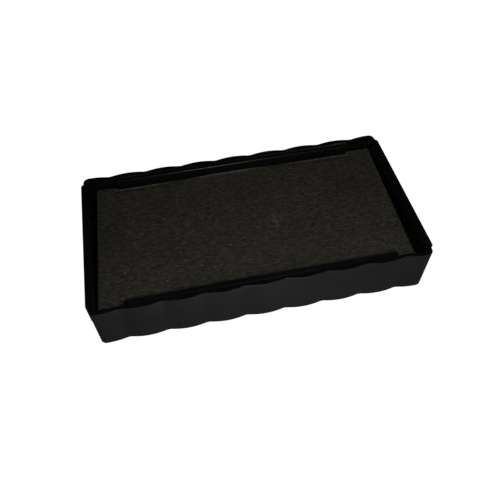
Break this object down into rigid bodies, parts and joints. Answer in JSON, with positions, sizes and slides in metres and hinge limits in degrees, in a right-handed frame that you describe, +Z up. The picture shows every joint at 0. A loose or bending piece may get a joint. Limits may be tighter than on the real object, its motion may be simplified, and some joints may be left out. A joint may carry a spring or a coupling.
{
  "type": "ink pad",
  "caption": "Shallow black tray with scalloped long sides and end guide rails, holding a felt pad under a cover cloth below the rim; the inking pad of a self-inking stamp.",
  "frame": {"origin": "centre of the tray's footprint, on the surface that it stands on", "axes": "+X along the tray's length, +Y across it towards the back, +Z up out of the open top"},
  "size_m": [0.0566, 0.0294, 0.0091],
  "materials": {
    "tray_plastic": "injection-moulded black polystyrene, satin",
    "strip_plastic": "injection-moulded black polystyrene, satin",
    "adhesive_film": "translucent double-sided adhesive film",
    "wool_felt": "pressed felt soaked with black ink",
    "cover_cloth": "fine fibrous cloth stained charcoal by ink"
  },
  "bodies": {
    "tray_body": {"tray": "tray_plastic", "retaining_strip_front": "strip_plastic", "retaining_strip_back": "strip_plastic", "bonding_film": "adhesive_film", "reservoir_felt": "wool_felt"},
    "pad_face": {"inking_felt": "wool_felt", "cover_cloth": "cover_cloth"}
  },
  "joints": [
    {"name": "pad_press", "type": "slide", "parent": "tray_body", "child": "pad_face", "axis": [0, 0, -1], "range_m": [0, 0.0005], "stiffness_N_per_m": 6000, "deforming": ["reservoir_felt"]}
  ]
}
